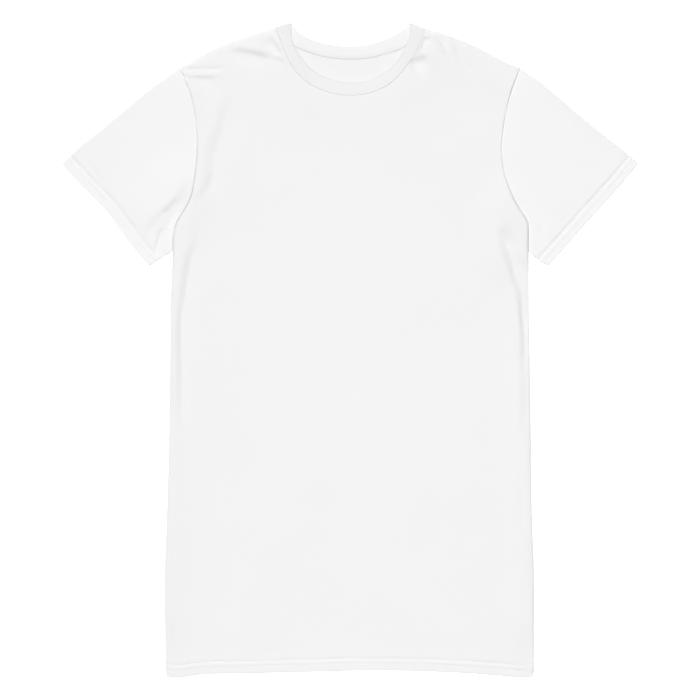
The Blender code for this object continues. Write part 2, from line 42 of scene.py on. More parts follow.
# The cut edges in millimetres: heights above the hem, and how far out each side lies.
cut = {
    "sides": {
        "height": (1.3, 15, 60, 165, 225, 335, 440, 540, 600),
        "left": (258.5, 259.5, 260.5, 260.5, 258, 255, 253.5, 252.3, 249.6),
        "right": (257.5, 259, 259.3, 259, 256.5, 255, 253.5, 252, 251.8),
    },
    "armholes": {
        "height": (600, 622, 641, 655, 672, 690, 713, 742, 771, 800, 825, 842, 858),
        "left": (249.6, 249, 243.5, 235, 225.5, 220, 217, 215, 215.7, 219.5, 225.5, 233, 240.5),
        "right": (251.8, 251.5, 250.3, 241.5, 231, 223, 216.5, 213.3, 215.5, 220.5, 226.8, 233, 239.7),
    },
    "shoulders": {
        "out": (240.1, 215, 190, 167, 146, 126, 106),
        "left": (858, 871.5, 885.5, 894.5, 903, 909, 915),
        "right": (858, 868.5, 882, 893, 901.5, 908, 913.5),
    },
    "hem": {
        "across": (-258.5, -240, -209, -140, -60, 28, 104, 160, 206, 240, 257.5),
        "height": (1.3, 0, 4.2, 6, 8, 10, 8.8, 6.3, 3, 0, 1.3),
    },
    "frontNeck": {
        "height": (914.3, 895, 875, 859, 845, 834, 825.3, 820.3, 819),
        "left": (106, 97.3, 89.6, 80.7, 69, 55, 36.3, 18, 0),
        "right": (106, 99.6, 89.8, 78.9, 66.8, 54.4, 36.4, 18.7, 0),
    },
    "frontBand": {
        "height": (922.3, 906, 890, 877, 860.5, 850.5, 842, 838, 836.5),
        "left": (83.1, 82.8, 80, 72, 59.5, 46, 28.5, 14, 0),
        "right": (84.3, 83.7, 79, 73.5, 61, 48, 31.5, 18, 0),
    },
    "backNeck": {
        "height": (914.3, 900, 889.5, 883.5, 877.7, 873.6, 871.3, 870.8),
        "left": (106, 94, 79, 65.5, 49.2, 33, 14, 0),
        "right": (106, 94, 78, 67, 48.5, 33, 16, 0),
    },
    "backBand": {
        "height": (922.3, 914.5, 904, 896, 891.5, 889.5, 889),
        "left": (83.1, 77.5, 66, 47.5, 29.7, 15, 0),
        "right": (84.3, 77.5, 62, 43, 27, 16, 0),
    },
    "tops": {
        "out": (240.1, 262, 282, 314, 354, 384, 406),
        "left": (858, 842.3, 828, 801.9, 768.5, 744.5, 723.5),
        "right": (858, 842.7, 827, 799, 766, 742, 722.5),
    },
    "cuffs": {
        "height": (579, 600, 633, 655, 678, 700, 723),
        "left": (282, 300.8, 325.5, 341.3, 363.6, 384.9, 406),
        "right": (278.5, 298, 327, 346.7, 367.8, 387.2, 406),
    },
    "underarms": {
        "height": (579, 588.5, 600),
        "left": (282, 267.5, 249.6),
        "right": (278.5, 263, 251.8),
    },
}

cloth = {
    "wall": 0.95,  # one layer of jersey
    "hemWall": 2.0,  # turned up and doubled
    "cuffWall": 1.6,
    "seamGap": 0.12,
    "hemRows": (17.0, 10.3),  # the twin needle's rows, up from the edge
    "cuffRows": (15.5, 10.0),
    "rowWidth": 0.75,
    "caught": 0.6,  # the doubled cloth starts to thin out this far below the upper row
    "sideSeam": (3.0, 9.0),  # single within the first, doubled beyond the second
    "sleeveSeam": (3.0, 8.0),
    "rolledArmhole": 85.0,  # how far up the armholes the sides' roll runs
    "waves": (  # the cloth never lies quite flat: length, direction, start, share
        (210.0, 0.3, 0.0, 1.0), (150.0, 1.2, 1.7, 0.8), (118.0, 2.2, 0.6, 0.6), (84.0, 0.8, 2.9, 0.35),
        (63.0, 2.7, 4.1, 0.25)),
}


def lengthsAlong(line):
    steps = np.linalg.norm(np.diff(line, axis=0), axis=1)
    return np.concatenate(([0.0], np.cumsum(steps)))


def atLengths(line, lengths, values=None):
    # the line, or values that belong to its points, at some lengths from its start
    along = lengthsAlong(line)
    values = line if values is None else values
    return np.column_stack([np.interp(lengths, along, column) for column in values.T])


def blend(t, start, end, first, second):
    return (end - t) / (end - start) * first + (t - start) / (end - start) * second


def smoothLine(points, spacing=None, sections=None):
    # a smooth curve through the points, divided evenly
    points = np.asarray(points, dtype=float)
    padded = np.vstack([2 * points[0] - points[1], points, 2 * points[-1] - points[-2]])
    knots = np.concatenate(([0.0], np.cumsum(np.sqrt(np.hypot(*np.diff(padded, axis=0).T)))))
    finePoints = 24
    fine = []
    for k in range(1, len(padded) - 2):
        t0, t1, t2, t3 = knots[k - 1:k + 3]
        t = np.linspace(t1, t2, finePoints, endpoint=False)[:, None]
        a1 = blend(t, t0, t1, padded[k - 1], padded[k])
        a2 = blend(t, t1, t2, padded[k], padded[k + 1])
        a3 = blend(t, t2, t3, padded[k + 1], padded[k + 2])
        fine.append(blend(t, t1, t2, blend(t, t0, t2, a1, a2), blend(t, t1, t3, a2, a3)))
    fine = np.vstack(fine + [points[-1:]])
    whole = lengthsAlong(fine)[-1]
    if sections is None:
        sections = max(2, round(whole / spacing))
    return atLengths(fine, np.linspace(0.0, whole, sections + 1))


def sideLine(name, side, **way):
    table = cut[name]
    sign = -1.0 if side == "left" else 1.0
    outs, ups = (table["out"], table[side]) if "out" in table else (table[side], table["height"])
    return smoothLine([(sign * out, up) for out, up in zip(outs, ups)], **way)


def neckLine(name, **way):
    table = cut[name]
    left = [(-out, up) for up, out in zip(table["height"], table["left"])]
    right = [(out, up) for up, out in zip(table["height"], table["right"])]
    return smoothLine(left + right[-2::-1], **way)


def segments(line, x, y):
    # each segment's step, the nearest share of the way along it, and how far off its point is
    for start, end in zip(line[:-1], line[1:]):
        step = end - start
        share = ((x - start[0]) * step[0] + (y - start[1]) * step[1]) / max(step @ step, 1e-9)
        share = np.clip(share, 0, 1)
        yield step, share, x - start[0] - share * step[0], y - start[1] - share * step[1]


def distanceTo(line, x, y):
    nearest = np.full(x.shape, np.inf)
    for step, share, offX, offY in segments(line, x, y):
        nearest = np.minimum(nearest, np.hypot(offX, offY))
    return nearest


def awayFrom(name, plan, every=1):
    return distanceTo(sewn[name][::every], plan[:, :, 0], plan[:, :, 1])


def ease(value, low, high):
    share = np.clip((value - low) / (high - low), 0.0, 1.0)
    return share * share * (3.0 - 2.0 * share)


def spaced(start, end, table):
    # places from start to end, as far apart as the table of (place, spacing) says
    fine = np.linspace(start, end, 4001)
    spacing = np.interp(fine, *zip(*table))
    total = np.concatenate(([0.0], np.cumsum(np.diff(fine) / spacing[1:])))
    return np.interp(np.linspace(0.0, total[-1], round(total[-1]) + 1), total, fine)


def closeEnds(line, steps, spread):
    # points along a line, close together at both ends and spread out between them
    whole = lengthsAlong(line)[-1]
    spread = (spread - spread[0]) / (spread[-1] - spread[0])
    plain = (steps[-1] + spread * (whole - 2 * steps[-1]))[1:-1]
    return atLengths(line, np.concatenate((steps, plain, whole - np.array(steps[::-1]))))


def rounding(distance, reach):
    return np.sqrt(np.clip(1.0 - (1.0 - np.clip(distance / reach, 0.0, 1.0)) ** 2, 0.0, 1.0))


def bell(value, width):
    return np.exp(-(value / width) ** 2)


def rise(distance, height, inward, width, beyond=None):
    # a soft rise along a line, some way in from it; beyond: its width on the far side
    offset = distance - inward
    return height * bell(offset, np.where(offset > 0, beyond or width, width))


def turnedUp(distance, row, fade):
    # 1 where the cloth is doubled, as far as its upper row
    return 1.0 - ease(distance, row - cloth["caught"], row + fade)


def atLeast(height, lowest, softness=0.25):
    # levels out softly towards the lowest
    return lowest + softness * np.logaddexp(0.0, (height - lowest) / softness)


def shares(line):
    along = lengthsAlong(line)
    return along / along[-1]


def patch(bottom, top, left, right):
    # fills four edges, rows from bottom to top
    low, high = shares(bottom)[None, :], shares(top)[None, :]
    first, last = shares(left)[:, None], shares(right)[:, None]
    up = (first + last) / 2.0
    s = ((1 - up) * low + up * high)[:, :, None]
    t = ((1 - s[:, :, 0]) * first + s[:, :, 0] * last)[:, :, None]
    ends = (1 - s) * left[:, None, :] + s * right[:, None, :]
    rows = (1 - t) * bottom[None, :, :] + t * top[None, :, :]
    corners = (1 - t) * ((1 - s) * bottom[0] + s * bottom[-1]) + t * ((1 - s) * top[0] + s * top[-1])
    return ends + rows - corners


def unit(vectors):
    return vectors / np.maximum(np.linalg.norm(vectors, axis=-1, keepdims=True), 1e-9)


def sideways(line):
    # square to a line at each of its points
    slope = np.gradient(line, axis=0)
    return unit(np.column_stack([slope[:, 1], -slope[:, 0]]))


def facings(points, ring=False):
    # the way each point of a grid faces
    if ring:
        padded = np.concatenate((points[-2:-1], points, points[1:2]), axis=0)
        down = padded[2:] - padded[:-2]
    else:
        down = np.gradient(points, axis=0)
    across = np.gradient(points, axis=1)
    return unit(np.cross(across, down))


# the lines that the pieces share
sewn = {"hem": smoothLine(list(zip(cut["hem"]["across"], cut["hem"]["height"])), sections=160)}
lineWays = {"side": {"sections": 176}, "armhole": {"sections": 80}, "shoulder": {"spacing": 2.0},
            "top": {"spacing": 4.0}, "cuff": {"spacing": 3.0}, "underarm": {"spacing": 2.0}}
for side in ("left", "right"):
    for name, way in lineWays.items():
        sewn[name + side] = sideLine(name + "s", side, **way)
    sewn["armhole" + side][-1] = sewn["shoulder" + side][0]
    sewn["armhole" + side][0] = sewn["side" + side][-1]
    sewn["top" + side][0] = sewn["shoulder" + side][0]
    sewn["underarm" + side][-1] = sewn["side" + side][-1]
    rolled = sewn["armhole" + side]
    rolled = rolled[lengthsAlong(rolled) < cloth["rolledArmhole"]]
    sewn["roll" + side] = np.vstack([sewn["side" + side][::4], rolled[1:]])
for name in ("frontNeck", "backNeck"):
    sewn[name] = neckLine(name, spacing=2.5)
    sewn[name][0] = sewn["shoulderleft"][-1]
    sewn[name][-1] = sewn["shoulderright"][-1]


foldForm = {
    "comesUp": (-0.05, 0.3),  # shares of its length
    "diesAway": (0.65, 1.05),
    "crestPlace": 1.8,  # in widths, from the trough's middle
    "crestWidth": 1.3,
}


def foldRelief(x, y, folds):
    # depth: below 0 it is a swelling.
    # crest: the height of the cloth that stands up beside the trough, on the left of its path above 0.
    # spread: how much wider the trough's other flank is.
    relief = np.zeros_like(x)
    for points, width, depth, crest, spread in folds:
        path = smoothLine(points, sections=20)
        along = lengthsAlong(path)
        best = np.full(x.shape, np.inf)
        signed = np.zeros_like(x)
        place = np.zeros_like(x)
        for k, (step, share, offX, offY) in enumerate(segments(path, x, y)):
            gap = np.hypot(offX, offY)
            closer = gap < best
            best = np.where(closer, gap, best)
            signed = np.where(closer, np.sign(step[0] * offY - step[1] * offX) * gap, signed)
            place = np.where(closer, (along[k] + share * math.hypot(*step)) / along[-1], place)
        fade = ease(place, *foldForm["comesUp"]) * (1.0 - ease(place, *foldForm["diesAway"]))
        signed = signed * math.copysign(1.0, crest)
        beside = bell(signed - foldForm["crestPlace"] * width, foldForm["crestWidth"] * width)
        trough = bell(best, np.where(signed > 0, width, width * spread))
        relief += fade * (abs(crest) * beside - depth * trough)
    return relief


def softWaves(x, y, height):
    total = np.zeros_like(x)
    for length, turn, start, share in cloth["waves"]:
        total += share * np.sin(2 * math.pi * (x * math.cos(turn) + y * math.sin(turn)) / length + start)
    return height * total


def startMaterial(name):
    # a material, its surface, and functions that fill a node's inputs or add a node
    material = bpy.data.materials.new(name)
    material.use_nodes = True
    tree = material.node_tree

    def fill(node, inputs):
        for key, value in inputs.items():
            if isinstance(value, bpy.types.NodeSocket):
                tree.links.new(value, node.inputs[key])
            else:
                node.inputs[key].default_value = value
        return node.outputs

    def add(kind, inputs, **settings):
        node = tree.nodes.new("ShaderNode" + kind)
        for key, value in settings.items():
            setattr(node, key, value)
        return fill(node, inputs)

    return material, tree.nodes["Principled BSDF"], fill, add


jerseyLook = {
    "surface": {"Metallic": 0.0, "Specular IOR Level": 0.25, "Sheen Weight": 0.18, "Sheen Roughness": 0.45,
                "Sheen Tint": (1.0, 1.0, 1.0, 1.0)},
    "legs": {"slant": 1.6, "height": 0.35},
    "stitchDistance": 0.00012,
    "fuzz": {"Strength": 0.12, "Distance": 0.0003},
    # noise scale and detail, the least value, and how much more
    "wobble": (90.0, 2.0, -0.0003, 0.0006),  # the wales don't run quite straight
    "yarn": (7.0, 3.0, 0.98, 0.02),
    "flecks": (650.0, 2.0, 0.975, 0.03),
    "rough": (30.0, 3.0, 0.86, 0.08),
    "shadeBetweenWales": (0.03, 0.975),  # painted shade: darker between the wales, in the knit's furrows
}


def jersey(name, colour, knit, turn=0.0, paler=0.0):
    # knit: wale and course in millimetres, and how deep the stitches look.
    # paler: how much lighter the cloth is where its mesh is marked so.
    look = jerseyLook
    material, surface, fill, add = startMaterial(name)
    place = add("TexCoord", {})["Object"]
    turned = add("Mapping", {"Vector": place, "Rotation": (0.0, 0.0, turn)})["Vector"]
    axes = add("SeparateXYZ", {"Vector": turned})

    def mix(operation, *values):
        return add("Math", dict(enumerate(values)), operation=operation)[0]

    def noise(scale, detail, rough=0.5):
        inputs = {"Vector": turned, "Scale": scale, "Detail": detail, "Roughness": rough}
        return add("TexNoise", inputs)["Fac"]

    def uneven(scale, detail, least, more):
        return mix("MULTIPLY_ADD", noise(scale, detail), more, least)

    # each wale is a column of Vs: courses that dip towards the wale's middle
    wobble = uneven(*look["wobble"])
    wales = mix("MULTIPLY", mix("ADD", axes["X"], wobble), 1.0 / (knit["wale"] * mm))
    courses = mix("MULTIPLY", mix("ADD", axes["Y"], wobble), 1.0 / (knit["course"] * mm))
    across = mix("PINGPONG", wales, 0.5)
    legs = mix("MULTIPLY_ADD", across, look["legs"]["slant"], courses)
    legs = mix("SINE", mix("MULTIPLY", legs, 2 * math.pi))
    columns = mix("SINE", mix("MULTIPLY", across, math.pi))
    stitches = add("Bump", {"Height": mix("MULTIPLY_ADD", legs, look["legs"]["height"], columns),
                            "Strength": knit["depth"], "Distance": look["stitchDistance"]})
    fuzz = add("Bump", {"Height": noise(420.0, 4.0, 0.7), "Normal": stitches["Normal"], **look["fuzz"]})

    tone = mix("MULTIPLY", uneven(*look["yarn"]), uneven(*look["flecks"]))
    # painted shade: the furrows between the wales are drawn darker
    tone = mix("MULTIPLY", tone, mix("MULTIPLY_ADD", columns, *look["shadeBetweenWales"]))
    if paler:
        marked = add("Attribute", {}, attribute_name="paler")["Fac"]
        tone = mix("MULTIPLY", tone, mix("MULTIPLY_ADD", marked, paler, 1.0))
    grey = add("CombineColor", {"Red": tone, "Green": tone, "Blue": tone})["Color"]
    tint = {"Factor": 1.0, "A": (*colour, 1.0), "B": grey}
    tint = add("Mix", tint, data_type="RGBA", blend_type="MULTIPLY")
    fill(surface, {**look["surface"], "Base Color": tint["Result"], "Roughness": uneven(*look["rough"]),
                   "Normal": fuzz["Normal"]})
    material.diffuse_color = (*colour, 1.0)
    return material


def meshPiece(name, points, faces, material):
    # a smooth mesh, its points in millimetres up from the hem
    points = np.asarray(points) * mm
    points[:, 1] -= hemToMiddle * mm
    mesh = bpy.data.meshes.new(name)
    mesh.from_pydata(points.tolist(), [], faces)
    mesh.materials.append(material)
    mesh.shade_smooth()
    piece = bpy.data.objects.new(name, mesh)
    bpy.context.scene.collection.objects.link(piece)
    return piece


def sewSheet(name, points, wall, material, ring=False, flip=False, paler=None):
    # a grid of points with a wall on its inner side; paler: where its material is
    rows, columns = points.shape[:2]
    kept = rows - 1 if ring else rows
    index = np.arange(kept * columns).reshape(kept, columns)
    if ring:
        index = np.vstack([index, index[:1]])
    faces = np.stack([index[:-1, :-1], index[:-1, 1:], index[1:, 1:], index[1:, :-1]], axis=2).reshape(-1, 4)
    if flip:
        faces = faces[:, ::-1]
    sheet = meshPiece(name, points[:kept].reshape(-1, 3), faces.tolist(), material)

    def perPoint(values):
        return np.broadcast_to(values, points.shape[:2])[:kept].ravel()

    if paler is not None:
        marked = sheet.data.attributes.new("paler", "FLOAT", "POINT")
        marked.data.foreach_set("value", perPoint(paler).astype(np.float32))
    thick = sheet.vertex_groups.new(name="wall")
    walls = perPoint(wall)
    thickest = float(walls.max())
    steps = 40
    levels = np.round(walls / thickest * steps) / steps
    for level in np.unique(levels):
        thick.add(np.flatnonzero(levels == level).tolist(), float(level), "REPLACE")
    solidify = sheet.modifiers.new("wall", "SOLIDIFY")
    solidify.thickness = thickest * mm
    solidify.offset = -1.0
    solidify.vertex_group = "wall"
    return sheet


panels = {
    "colour": (0.842, 0.8405, 0.844),
    "knit": {"wale": 0.9, "course": 0.66, "depth": 0.35},
    "closeSteps": (0.0, 0.12, 0.4, 0.9, 1.6, 2.5, 3.7, 5.2, 7.2),  # in from an edge
    "backSteps": (0.0, 0.3, 1.0, 2.6, 6.0),
    "turning": {"width": 11.0, "reach": 24, "armholes": 14.0},
    "evened": 14,  # rounds
    "sideLength": 866.0,
    "fineGrid": {  # where the rows lie on the hem, and (place, spacing) elsewhere
        "hem": (0.0, 0.15, 0.5, 1.1, 2.0, 4.5, 7.5, 9.0, 9.7, 10.3, 10.9, 11.6, 13.5, 15.2, 15.8, 16.4, 17.0,
                17.6, 18.3, 19.3, 21.0, 23.0, 26.0),
        "side": ((26, 3.5), (60, 8), (250, 9), (330, 7.5), (420, 5.5), (600, 4.6), (640, 3.4), (760, 3.2),
                 (795, 2.3), (850, 1.7), (870, 1.6)),
        "shoulder": ((7, 1.9), (40, 2.2), (60, 3.2), (110, 3.2), (125, 2.2), (150, 2.0)),
        "neck": ((0, 2.0), (25, 2.2), (60, 4.2), (165, 5.0), (270, 4.2), (305, 2.2), (330, 2.0)),
    },
    "plainGrid": {
        "hem": (0.0, 0.5, 2.0, 5.0, 8.5, 9.6, 10.3, 11.0, 12.5, 15.3, 16.3, 17.0, 17.7, 18.8, 21.0, 26.0),
        "side": ((0, 6.5), (900, 6.5)),
        "shoulder": ((0, 6.0), (150, 6.0)),
        "neck": ((0, 5.5), (330, 5.5)),
    },
}
front = {
    "top": 3.1,
    "bottomEdge": 1.3,
    "lowest": 2.1,
    "hemTop": 3.7,
    "hemFades": (16.0, 31.0),
    # rises and ditches along a line: height, how far in from it, width, and width on the far side
    "neckRise": (2.5, 0.0, 48.0),
    "armholeRise": (0.8, 0.0, 26.0),
    "shoulderRise": (1.7, 27.0, 23.0),
    "sideSwell": (2.9, 10.0, 21.0),
    "shoulderDitch": (-1.1, 2.4, 0.85),
    "armholeDitch": (-1.1, 0.0, 0.85),
    # the body sinks to each needle row, and the hem is a little full between them
    "hemForms": ((-0.5, 16.6, 2.8, 5.0), (0.05, 13.6, 2.0), (-0.2, 9.4, 3.6, 2.0)),
    "neckDitch": {"depth": 0.28, "less": 0.1, "width": 1.1, "fades": (10.0, 70.0)},
    "shoulderDitchStarts": (98.0, 110.0),
    "shoulderDitchFades": (140.0, 215.0),
    "swellStarts": (30.0, 90.0),
    "rowDepths": (0.24, 0.15),
    "hemRoll": 1.1,
    "shoulderRoll": {"left": 8.0, "right": 3.4},
    "sideRoll": 5.0,
    "rollFade": (600.0, 700.0),
    "waves": 0.07,
    "wavesStart": (15.0, 60.0),
    "folds": (
        # left shoulder, the deepest one first
        (((-174, 879.6), (-160, 879.2), (-150, 878), (-140, 876.6), (-131, 874.6), (-121.5, 872),
          (-112, 870), (-102, 867.5)), 5.2, 3.3, 0.9, 3.0),
        (((-112, 871), (-101, 867.8), (-88, 864)), 3.6, 1.2, 0.4, 2.4),
        (((-170, 868), (-140, 866), (-118, 861)), 9.0, 0.5, 0.3, 1.4),
        (((-238, 853.8), (-212, 854.3), (-195, 854.8), (-176, 857)), 2.9, 3.0, -0.9, 1.3),
        (((-226, 844.5), (-210, 842.6), (-199, 841.6), (-184, 842.5)), 3.4, 1.5, 0.4, 3.2),
        (((-239, 849.5), (-231, 845), (-224, 841.5)), 2.2, 1.4, 0.3, 1.3),
        (((-117, 900), (-109, 891), (-103, 882), (-98, 873)), 4.6, 2.6, 0.5, 2.8),
        # right of the neck
        (((83, 862), (94, 866), (103, 868), (111, 868.5)), 5.6, 4.0, 0.4, 2.6),
        (((89, 894.5), (98, 896), (106, 897.2), (115, 898.8)), 2.8, 2.2, 0.4, 1.5),
        (((107.5, 902), (105.6, 896), (103.6, 890), (100, 883.5), (96, 878)), 2.4, 1.9, -0.6, 2.8),
        (((112, 909), (118.5, 900), (123.5, 891.5), (129.5, 884), (138, 873)), 2.4, -2.0, 0.0, 1.0),
        (((136, 908), (139, 900), (142, 890), (145, 880), (149, 867)), 2.8, -1.0, 0.0, 1.0),
        (((128, 905), (131, 893), (136, 882), (142, 868)), 3.6, 0.8, 0.3, 1.6),
        (((146, 893), (155, 876), (166, 860), (178, 847)), 5.0, 1.7, 0.5, 1.8),
        # left of the chest, down to the armhole, on a swelling of its own
        (((-165, 860), (-188, 780), (-204, 720), (-216, 650)), 27.0, -2.1, 0.0, 1.0),
        (((-160, 832), (-172, 793), (-179, 765), (-190, 738), (-192, 722), (-191, 706), (-198, 686),
          (-214, 660)), 10.5, 3.1, -0.7, 1.8),
        (((-189, 716), (-196, 696), (-207, 678), (-221, 660)), 5.5, 0.8, -0.4, 1.5),
        (((-222, 836), (-214, 800), (-206, 760)), 7.0, 0.7, 0.4, 1.4),
        # the long folds inside the sides
        (((-207, 626), (-213.5, 609), (-219.5, 595), (-223.2, 581), (-226.5, 559), (-230.4, 538),
          (-233.2, 517), (-234.6, 489), (-234.8, 450)), 8.0, 3.6, -0.9, 1.6),
        (((-233.4, 528), (-234.3, 495), (-235.2, 461), (-235.6, 430), (-235.8, 395), (-235, 345)),
         7.0, 3.6, -0.8, 1.5),
        (((-236, 395), (-236, 330), (-234, 270), (-235, 200)), 9.0, 1.1, -0.3, 1.6),
        (((-226, 250), (-222, 170), (-224, 90)), 16.0, 0.6, -0.3, 1.6),
        (((202, 690), (213, 625), (226, 550)), 25.0, -3.8, 0.0, 1.0),
        (((212, 634), (216.5, 622), (220, 614), (224.6, 601), (228.4, 588), (232.5, 573), (236.5, 559),
          (240, 545)), 9.2, 5.6, -1.0, 1.7),
        (((232, 592), (237, 576), (240.5, 559), (243, 538), (244.8, 517), (245.6, 485)), 8.2, 4.4, -1.5, 2.2),
        (((243, 535), (244.6, 500), (245.4, 465), (246, 425)), 4.6, 2.5, -1.7, 1.8),
        (((246.5, 445), (247, 390), (246, 335)), 6.0, 1.2, -0.8, 1.4),
        (((240, 290), (242, 250), (241, 200)), 7.0, 0.9, -0.4, 1.3),
        # faint ones on the body
        (((-196, 640), (-190, 560), (-196, 470)), 14.0, 0.45, 0.3, 1.5),
        (((150, 520), (190, 500), (225, 505)), 12.0, 0.35, 0.3, 1.5),
        (((-120, 350), (-150, 230), (-160, 110)), 26.0, 0.5, 0.4, 1.6),
        (((96, 740), (120, 700), (128, 640)), 18.0, 0.3, 0.2, 1.4),
    ),
    # where the turned-up hem is caught: across, above the hem, half length, depth
    "puckers": (
        (-186.0, 17.4, 8.0, 0.9), (-150.0, 17.2, 11.0, 0.45), (-228.0, 17.2, 14.0, 0.5),
        (-84.0, 17.8, 9.0, 0.45), (-20.0, 17.2, 24.0, 0.4), (62.0, 17.2, 16.0, 0.35),
        (118.0, 17.2, 14.0, 0.4), (211.0, 17.6, 17.0, 0.8), (233.0, 9.8, 8.0, 0.8),
        (178.0, 17.2, 9.0, 0.4), (146.0, 10.3, 10.0, 0.35), (-118.0, 10.6, 13.0, 0.35),
        (20.0, 10.4, 16.0, 0.25),
    ),
    "puckerWidth": 1.3,
    "puckerFull": (0.5, -2.8, 1.6),  # below each pucker, as a share of it
    "leastWall": 0.15,
    "clear": 0.07,  # between the front and the back
}
back = {
    "wall": 1.0,
    "walls": (0.7, 1.18),  # the thinnest and the thickest
    "rim": 0.4,  # how far the edges turn up
    "rowDepth": 0.28,
    "rowWidth": 0.6,
    "uneven": (0.1, 45, 30),  # inside the neck, where it shows
}


def panelPlan(neckName, steps, grid):
    # rows run level with the hem, then with the neck and shoulders
    neck = sewn[neckName]
    halves = {}
    for side in ("left", "right"):
        shoulder = sewn["shoulder" + side]
        whole = lengthsAlong(shoulder)[-1]
        plain = spaced(steps[-1], whole, grid["shoulder"])[1:]
        halves[side] = atLengths(shoulder, np.concatenate((steps, plain)))
    neckPoints = atLengths(neck, spaced(0.0, lengthsAlong(neck)[-1], grid["neck"]))
    top = np.vstack([halves["left"], neckPoints[1:-1], halves["right"][::-1]])
    # the way into the panel, turned slowly round the corners
    into = sideways(top)
    along = lengthsAlong(top)
    even = np.arange(0.0, along[-1], 1.0)
    turning = panels["turning"]
    reach = turning["reach"]
    spread = bell(np.arange(-reach, reach + 1), turning["width"])
    spread /= spread.sum()
    smoothed = []
    for axis in (0, 1):
        line = np.interp(even, along, into[:, axis])
        line = np.convolve(np.pad(line, reach, mode="edge"), spread, mode="valid")
        smoothed.append(np.interp(along, even, line))
    into = unit(np.column_stack(smoothed))
    depths = np.array([step for step in panels["closeSteps"] if step <= steps[-1]])
    edges = {}
    for side, column in (("left", 0), ("right", -1)):
        armhole = sewn["armhole" + side]
        whole = lengthsAlong(armhole)[-1]
        down = unit(atLengths(armhole, [whole - depths[-1]])[0] - top[column])
        near = np.clip(1.0 - np.abs(along - along[column]) / turning["armholes"], 0.0, 1.0)[:, None]
        into = unit(into * (1 - near) + down * near)
        rising = sewn["side" + side].copy()
        rising[0] = sewn["hem"][0] if side == "left" else sewn["hem"][-1]
        line = np.vstack([rising, armhole[1:]])
        total = lengthsAlong(line)[-1] - depths[-1]
        start = grid["hem"][-1]
        share = spaced(start, panels["sideLength"], grid["side"])[1:]
        plain = start + (share - start) / (share[-1] - start) * (total - start)
        edges[side] = atLengths(line, np.concatenate((grid["hem"], plain)))
        edges[side][-1] = top[column] + down * depths[-1]
    middle = slice(len(steps) - 1, len(top) - len(steps) + 1)
    bottom = closeEnds(sewn["hem"], steps, shares(top)[middle])
    bottom[0], bottom[-1] = sewn["hem"][0], sewn["hem"][-1]
    deepest = top + into * depths[-1]
    inner = deepest[len(steps) - 2:len(top) - len(steps) + 2]
    for again in range(panels["evened"]):  # evens out the columns at the neck's corners
        inner[1:-1] = (inner[:-2] + 2 * inner[1:-1] + inner[2:]) / 4
    rows = patch(bottom, deepest, edges["left"], edges["right"])
    last = [top + (deepest - top) * depth / depths[-1] for depth in depths[-2::-1]]
    return np.concatenate((rows, np.array(last)), axis=0)


def frontSurface(plan):
    # the height of the front's outer face
    x, y = plan[:, :, 0], plan[:, :, 1]
    toHem = awayFrom("hem", plan)
    toNeck = awayFrom("frontNeck", plan)
    height = np.full(x.shape, front["top"])
    height += (front["hemTop"] - front["top"]) * (1.0 - ease(toHem, *front["hemFades"]))
    height += rise(toNeck, *front["neckRise"])
    height += softWaves(x, y, front["waves"]) * ease(toHem, *front["wavesStart"])
    for side in ("left", "right"):
        height += rise(awayFrom("roll" + side, plan), *front["sideSwell"]) * ease(y, *front["swellStarts"])
        height += rise(awayFrom("armhole" + side, plan, every=3), *front["armholeRise"])
        height += rise(awayFrom("shoulder" + side, plan, every=3), *front["shoulderRise"])
    height += foldRelief(x, y, front["folds"])
    for form in front["hemForms"]:
        height += rise(toHem, *form)
    for across, up, reach, depth in front["puckers"]:
        drawnIn = bell(toHem - up, front["puckerWidth"]) - rise(toHem - up, *front["puckerFull"])
        height -= depth * bell(x - across, reach) * drawnIn
    height = atLeast(height, front["lowest"])
    # seams lie in a narrow ditch
    ditch = front["neckDitch"]
    height -= (ditch["depth"] - ditch["less"] * ease(x, *ditch["fades"])) * bell(toNeck, ditch["width"])
    ditch = rise(awayFrom("shoulderright", plan), *front["shoulderDitch"])
    ditch *= ease(x, *front["shoulderDitchStarts"]) * (1.0 - ease(x, *front["shoulderDitchFades"]))
    height += ditch
    rolled = np.ones_like(x)
    fade = 1.0 - ease(y, *front["rollFade"])
    for side in ("left", "right"):
        height += rise(awayFrom("armhole" + side, plan), *front["armholeDitch"]) * (1.0 - fade)
        sideRoll = rounding(awayFrom("roll" + side, plan), front["sideRoll"])
        rolled = np.minimum(rolled, 1.0 - fade * (1.0 - sideRoll))
        rolled = np.minimum(rolled, rounding(awayFrom("shoulder" + side, plan), front["shoulderRoll"][side]))
    height = front["bottomEdge"] + (height - front["bottomEdge"]) * rolled
    # the hem's own fold
    return height - (1.0 - rounding(toHem, front["hemRoll"]))


def pressRows(points, outward, distance, rows, depths):
    # a needle row bites into the cloth, the upper one deeper
    groove = sum(depth * bell(distance - row, cloth["rowWidth"]) for row, depth in zip(rows, depths))
    return points - outward * groove[:, :, None]


def makeFront():
    plan = panelPlan("frontNeck", panels["closeSteps"], panels["fineGrid"])
    points = np.dstack([plan, frontSurface(plan)])
    toHem = awayFrom("hem", plan)
    points = pressRows(points, facings(points), toHem, cloth["hemRows"], front["rowDepths"])
    toSides = np.minimum(awayFrom("sideleft", plan, every=8), awayFrom("sideright", plan, every=8))
    doubled = turnedUp(toHem, cloth["hemRows"][0], 1.4) * ease(toSides, *cloth["sideSeam"])
    wall = cloth["wall"] + (cloth["hemWall"] - cloth["wall"]) * doubled
    # the inner side stays clear of the back
    room = (points[:, :, 2] - back["wall"] - front["clear"]) / np.clip(facings(points)[:, :, 2], 0.2, 1.0)
    least = front["leastWall"]
    wall = np.clip(wall, least, np.maximum(room, least))
    material = jersey("frontJersey", panels["colour"], panels["knit"])
    return sewSheet("dress_front", points, wall, material), points


